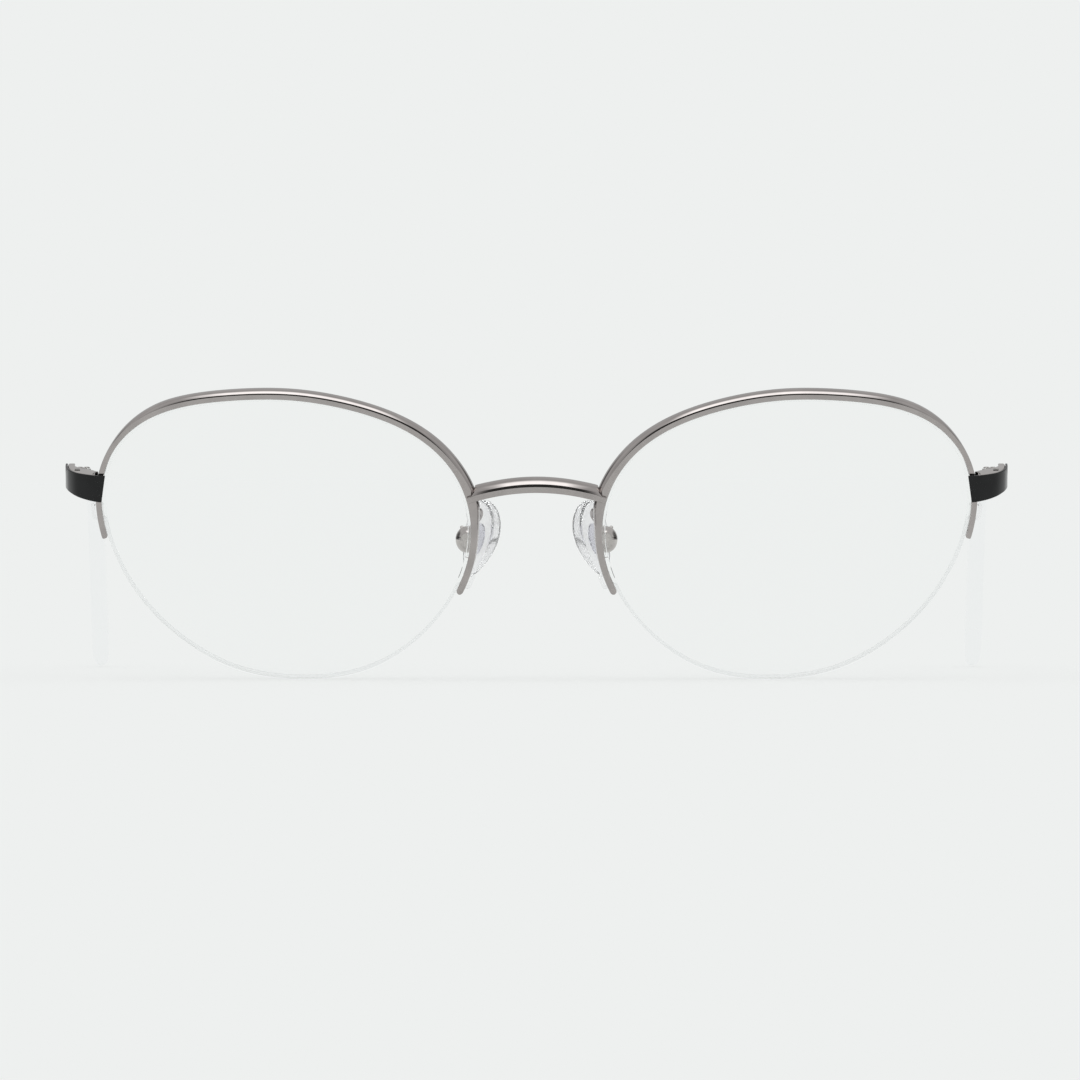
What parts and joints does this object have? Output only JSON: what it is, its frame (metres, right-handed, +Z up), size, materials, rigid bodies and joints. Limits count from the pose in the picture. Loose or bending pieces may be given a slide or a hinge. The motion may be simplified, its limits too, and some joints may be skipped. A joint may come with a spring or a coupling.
{
  "type": "half rim eyeglasses",
  "caption": "Oval half rim eyeglasses: metal upper rims and arched bridge, lenses held below by clear cord, black facings and temples, clear nose pads, folding arms.",
  "frame": {"origin": "on the surface that the open glasses stand on, under the middle of the bounding box", "axes": "+X to the wearer's left, +Y back along the open temples, +Z up; the front faces -Y"},
  "size_m": [0.1378, 0.1452, 0.0424],
  "materials": {
    "gunmetal": "satin to polished gunmetal plating",
    "polished_metal": "polished",
    "steel_screw": "polished steel",
    "black_lacquer": "gloss black lacquer",
    "clear_acetate": "clear, polished acetate",
    "clear_lens": "clear, polished",
    "nylon": "clear nylon",
    "clear_silicone": "clear silicone",
    "pad_core": "translucent grey"
  },
  "bodies": {
    "front": {"bridge": "gunmetal", "right_rim": "gunmetal", "right_lens": "clear_lens", "right_rim_liner": "nylon", "right_nylon_cord": "nylon", "right_endpiece": "gunmetal", "right_endpiece_facing": "black_lacquer", "right_front_hinge": "gunmetal", "right_hinge_screw": "steel_screw", "right_pad_arm": "gunmetal", "right_pad_box": "polished_metal", "right_pad_screw": "steel_screw", "left_rim": "gunmetal", "left_lens": "clear_lens", "left_rim_liner": "nylon", "left_nylon_cord": "nylon", "left_endpiece": "gunmetal", "left_endpiece_facing": "black_lacquer", "left_front_hinge": "gunmetal", "left_hinge_screw": "steel_screw", "left_pad_arm": "gunmetal", "left_pad_box": "polished_metal", "left_pad_screw": "steel_screw"},
    "right_temple_arm": {"right_temple": "black_lacquer", "right_temple_hinge": "gunmetal", "right_temple_tip": "clear_acetate"},
    "right_pad": {"right_nose_pad": "clear_silicone", "right_pad_insert": "pad_core"},
    "left_temple_arm": {"left_temple": "black_lacquer", "left_temple_hinge": "gunmetal", "left_temple_tip": "clear_acetate"},
    "left_pad": {"left_nose_pad": "clear_silicone", "left_pad_insert": "pad_core"}
  },
  "joints": [
    {"name": "right_temple_fold", "type": "hinge", "parent": "front", "child": "right_temple_arm", "pos_m": [-0.0662, -0.0589, 0.02947], "axis": [0, 0, -1], "range_deg": [0, 85]},
    {"name": "left_temple_fold", "type": "hinge", "parent": "front", "child": "left_temple_arm", "pos_m": [0.0662, -0.0589, 0.02947], "axis": [0, 0, 1], "range_deg": [0, 90]},
    {"name": "right_pad_rock", "type": "hinge", "parent": "front", "child": "right_pad", "pos_m": [-0.01007, -0.0602, 0.02037], "axis": [0.3717, -0.5308, -0.7616], "range_deg": [-8, 8]},
    {"name": "left_pad_rock", "type": "hinge", "parent": "front", "child": "left_pad", "pos_m": [0.01007, -0.0602, 0.02037], "axis": [0.3717, 0.5308, 0.7616], "range_deg": [-8, 8]}
  ]
}
